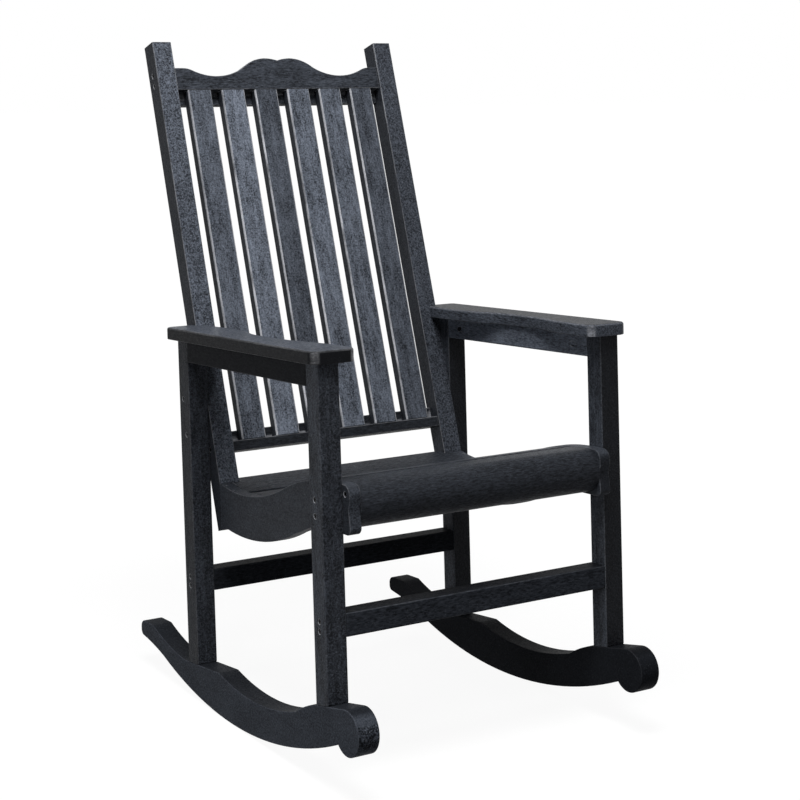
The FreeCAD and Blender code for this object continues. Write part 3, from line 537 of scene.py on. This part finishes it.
class CHAIR_OT_rockers(DressingOperator, bpy.types.Operator):
    """Finish the two scrolled rockers"""

    bl_idname = "chair.rockers"
    bl_label = "Rockers"
    boards = [f"{side}_rocker" for side in SIDES]
    finish = "rocker_plastic"


class CHAIR_OT_legs(DressingOperator, bpy.types.Operator):
    """Finish the four square legs"""

    bl_idname = "chair.legs"
    bl_label = "Legs"
    boards = LEGS
    finish = "leg_plastic"


class CHAIR_OT_arm_rails(DressingOperator, bpy.types.Operator):
    """Finish the square bars under the arms"""

    bl_idname = "chair.arm_rails"
    bl_label = "Arm rails"
    boards = [f"{side}_arm_rail" for side in SIDES]
    finish = "arm_rail_plastic"


class CHAIR_OT_arms(DressingOperator, bpy.types.Operator):
    """Finish the flat curved arms"""

    bl_idname = "chair.arms"
    bl_label = "Arms"
    boards = [f"{side}_arm" for side in SIDES]
    finish = "arm_plastic"


class CHAIR_OT_stretchers(DressingOperator, bpy.types.Operator):
    """Finish the bars between the legs"""

    bl_idname = "chair.stretchers"
    bl_label = "Stretchers"
    boards = ["front_stretcher", "rear_stretcher"]
    finish = "cross_plastic"


class CHAIR_OT_seat_rails(DressingOperator, bpy.types.Operator):
    """Finish the curved boards that carry the seat"""

    bl_idname = "chair.seat_rails"
    bl_label = "Seat rails"
    boards = [f"{side}_seat_rail" for side in SIDES]
    finish = "rail_plastic"


class CHAIR_OT_seat(DressingOperator, bpy.types.Operator):
    """Finish the rolled seat front and the seat slats"""

    bl_idname = "chair.seat"
    bl_label = "Seat"
    boards = ["seat_roll"] + SEAT_SLATS
    finish = "seat_plastic"


class CHAIR_OT_back_posts(DressingOperator, bpy.types.Operator):
    """Finish the leaning back posts"""

    bl_idname = "chair.back_posts"
    bl_label = "Back posts"
    boards = [f"{side}_back_post" for side in SIDES]
    finish = "post_plastic"


class CHAIR_OT_back_rails(DressingOperator, bpy.types.Operator):
    """Finish the shaped crest and the lower rail of the back"""

    bl_idname = "chair.back_rails"
    bl_label = "Back rails"
    boards = ["crest_rail", "lower_back_rail"]
    finish = "crest_plastic"


class CHAIR_OT_back_slats(DressingOperator, bpy.types.Operator):
    """Finish the slats of the back"""

    bl_idname = "chair.back_slats"
    bl_label = "Back slats"
    boards = BACK_SLATS
    finish = "slat_plastic"


class CHAIR_OT_screws(bpy.types.Operator):
    """Give the screws their weathered steel"""

    bl_idname = "chair.screws"
    bl_label = "Screws"
    bl_options = {"REGISTER", "UNDO"}

    def execute(self, context):
        finish = steel("screw_steel_finish", context.scene)
        for node in SCREWS:
            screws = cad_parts[node]
            screws.material_slots[0].link = "OBJECT"
            screws.material_slots[0].material = finish
        return {"FINISHED"}


def lamp(name, power, place, aim, size):
    """A square soft lamp at a place that shines at a point."""
    data = bpy.data.lights.new(name, "AREA")
    data.energy = power
    data.size = size
    thing = bpy.data.objects.new(name, data)
    thing.location = place
    thing.rotation_euler = (Vector(aim) - Vector(place)).to_track_quat("-Z", "Y").to_euler()
    bpy.context.scene.collection.objects.link(thing)
    return thing


def seen_directly(recipe):
    """1 where the camera sees a thing itself or in a reflection or through glass, otherwise 0."""
    path = recipe.node("ShaderNodeLightPath")
    seen = Field(recipe, path.outputs["Is Camera Ray"])
    for name in ("Is Glossy Ray", "Is Transmission Ray"):
        seen = seen.larger(Field(recipe, path.outputs[name]))
    return seen


class CHAIR_OT_studio(bpy.types.Operator):
    """Set up the white floor, the lamps and the even light"""

    bl_idname = "chair.studio"
    bl_label = "Studio"
    bl_options = {"REGISTER", "UNDO"}

    def execute(self, context):
        studio = context.scene.chair_studio
        deselect()
        bpy.ops.mesh.primitive_plane_add(size=studio.floor_size, location=(0, 0, 0))
        floor = context.active_object
        floor.name = "studio_floor"
        material = bpy.data.materials.new("studio_floor_paint")
        recipe = Recipe(material)
        paint = recipe.field("ShaderNodeBsdfDiffuse", None, {"Color": opaque(studio.floor_colour)})
        place = Field(recipe, recipe.node("ShaderNodeTexCoord").outputs["Object"])
        distance = recipe.field(
            "ShaderNodeVectorMath", {"operation": "LENGTH"}, {0: place}, "Value")
        near = 1 - distance.step(0.5 * studio.shadow_reach, studio.shadow_reach)
        shaded = near * studio.floor_shadow
        # Where no shadow falls, the lamps bring the paint to nine tenths of its own colour, and the
        # glow adds what is missing to a touch more than white.
        lit_paint = 0.9 * studio.floor_colour[0]
        glow = (1.02 - shaded * lit_paint) / (1 - shaded)
        white = recipe.field("ShaderNodeEmission", None, {"Color": WHITE, "Strength": glow})
        seen = seen_directly(recipe) * (1 - shaded)
        both = recipe.field("ShaderNodeMixShader", None, {0: seen, 1: paint, 2: white})
        recipe.node("ShaderNodeOutputMaterial", None, {"Surface": both})
        floor.data.materials.append(material)

        lamp("overhead_lamp", studio.overhead, place=(-0.7, -1.0, 3.5), aim=(0, 0, 0.5), size=1.3)
        lamp("side_lamp", studio.side, place=(-2.6, -1.1, 0.9), aim=(0, 0, 0.5), size=0.5)
        lamp("front_lamp", studio.front, place=(-0.6, -3.2, 2.8), aim=(0, 0, 0.6), size=1.6)
        behind = lamp("back_lamp", studio.back, place=(2.4, 2.4, 1.5), aim=(0, 0, 0.6), size=1.6)
        # From the front its reflection would be a glare on the tops of the boards.
        behind.visible_glossy = False

        world = bpy.data.worlds.new("studio_light")
        recipe = Recipe(world)
        dim = recipe.field("ShaderNodeBackground", None, {"Strength": studio.sky})
        bright = recipe.field("ShaderNodeBackground", None, {"Color": WHITE, "Strength": 1.0})
        both = recipe.field("ShaderNodeMixShader", None, {
            0: seen_directly(recipe), 1: dim, 2: bright})
        recipe.node("ShaderNodeOutputWorld", None, {"Surface": both})
        context.scene.world = world
        context.scene.view_settings.view_transform = "Standard"
        return {"FINISHED"}


class CHAIR_OT_camera(bpy.types.Operator):
    """Stand the camera in front of the chair, to the sitter's right"""

    bl_idname = "chair.camera"
    bl_label = "Camera"
    bl_options = {"REGISTER", "UNDO"}

    def execute(self, context):
        data = bpy.data.cameras.new("studio_camera")
        data.sensor_width = 36
        data.lens = CAMERA_LENS
        data.shift_x, data.shift_y = CAMERA_SHIFT
        data.clip_end = 100
        camera = bpy.data.objects.new("studio_camera", data)
        back = CAMERA_RIGHT.cross(CAMERA_UP)
        turn = Matrix((CAMERA_RIGHT, CAMERA_UP, back)).transposed().to_4x4()
        camera.matrix_world = Matrix.Translation(CAMERA_PLACE) @ turn
        context.scene.collection.objects.link(camera)
        context.scene.camera = camera
        return {"FINISHED"}


STEPS = (
    CHAIR_OT_rockers, CHAIR_OT_legs, CHAIR_OT_arm_rails, CHAIR_OT_arms, CHAIR_OT_stretchers,
    CHAIR_OT_seat_rails, CHAIR_OT_seat, CHAIR_OT_back_posts, CHAIR_OT_back_rails,
    CHAIR_OT_back_slats, CHAIR_OT_screws, CHAIR_OT_studio, CHAIR_OT_camera,
)


class CHAIR_PT_tools(bpy.types.Panel):
    """Lists the steps that finish the chair"""

    bl_idname = "CHAIR_PT_tools"
    bl_label = "Rocking chair"
    bl_space_type = "VIEW_3D"
    bl_region_type = "UI"
    bl_category = "Rocking chair"

    def draw(self, context):
        for step in STEPS:
            self.layout.operator(step.bl_idname)
        scene = context.scene
        for group in (scene.chair_colours, scene.chair_sizes, scene.chair_studio):
            box = self.layout.box()
            for name in group.__annotations__:
                box.prop(group, name)


CLASSES = (ChairColours, ChairSizes, StudioSettings) + STEPS + (CHAIR_PT_tools,)


def register():
    for item in CLASSES:
        bpy.utils.register_class(item)
    bpy.types.Scene.chair_colours = bpy.props.PointerProperty(type=ChairColours)
    bpy.types.Scene.chair_sizes = bpy.props.PointerProperty(type=ChairSizes)
    bpy.types.Scene.chair_studio = bpy.props.PointerProperty(type=StudioSettings)


def unregister():
    del bpy.types.Scene.chair_studio
    del bpy.types.Scene.chair_sizes
    del bpy.types.Scene.chair_colours
    for item in reversed(CLASSES):
        bpy.utils.unregister_class(item)


def main():
    register()
    bpy.ops.chair.rockers()
    bpy.ops.chair.legs()
    bpy.ops.chair.arm_rails()
    bpy.ops.chair.arms()
    bpy.ops.chair.stretchers()
    bpy.ops.chair.seat_rails()
    bpy.ops.chair.seat()
    bpy.ops.chair.back_posts()
    bpy.ops.chair.back_rails()
    bpy.ops.chair.back_slats()
    bpy.ops.chair.screws()
    bpy.ops.chair.studio()
    bpy.ops.chair.camera()


if __name__ == "__main__":
    main()
